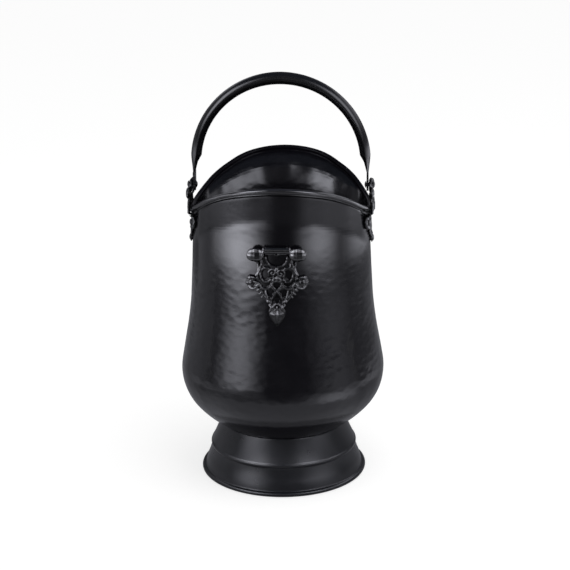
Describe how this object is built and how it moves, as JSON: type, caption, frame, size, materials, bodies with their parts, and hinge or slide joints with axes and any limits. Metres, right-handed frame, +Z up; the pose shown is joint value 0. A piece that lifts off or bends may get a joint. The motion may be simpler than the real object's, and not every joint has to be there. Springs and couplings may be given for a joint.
{
  "type": "coal bucket",
  "caption": "Round hammered coal bucket with a saddle-shaped rim, flared foot, swinging bail between cast ears, and a pierced ornament on the front.",
  "frame": {"origin": "centre of the foot's base ring, on the floor", "axes": "+Z up; the ornament's side, the front, is -Y; the ears and the bail's hinge axis lie along X"},
  "size_m": [0.25, 0.25, 0.5],
  "materials": {
    "hammered_steel": "satin black paint on hammered sheet",
    "spun_steel": "satin black paint on spun sheet",
    "cast_iron": "glossy black paint on a rough casting",
    "rivet_steel": "glossy black paint",
    "bail_steel": "satin black paint on tube"
  },
  "bodies": {
    "bucket": {"bucket_shell": "hammered_steel", "foot_skirt": "spun_steel", "right_ear": "cast_iron", "left_ear": "cast_iron", "front_ornament": "cast_iron", "right_ear_rivets": "rivet_steel", "left_ear_rivets": "rivet_steel", "front_ornament_rivets": "rivet_steel", "right_pivot_rivet": "rivet_steel", "left_pivot_rivet": "rivet_steel"},
    "bail": {"bail_handle": "bail_steel"}
  },
  "joints": [
    {"name": "bail_swing", "type": "hinge", "parent": "bucket", "child": "bail", "pos_m": [0, 0, 0.3638], "axis": [1, 0, 0], "range_deg": [-90, 90]}
  ]
}
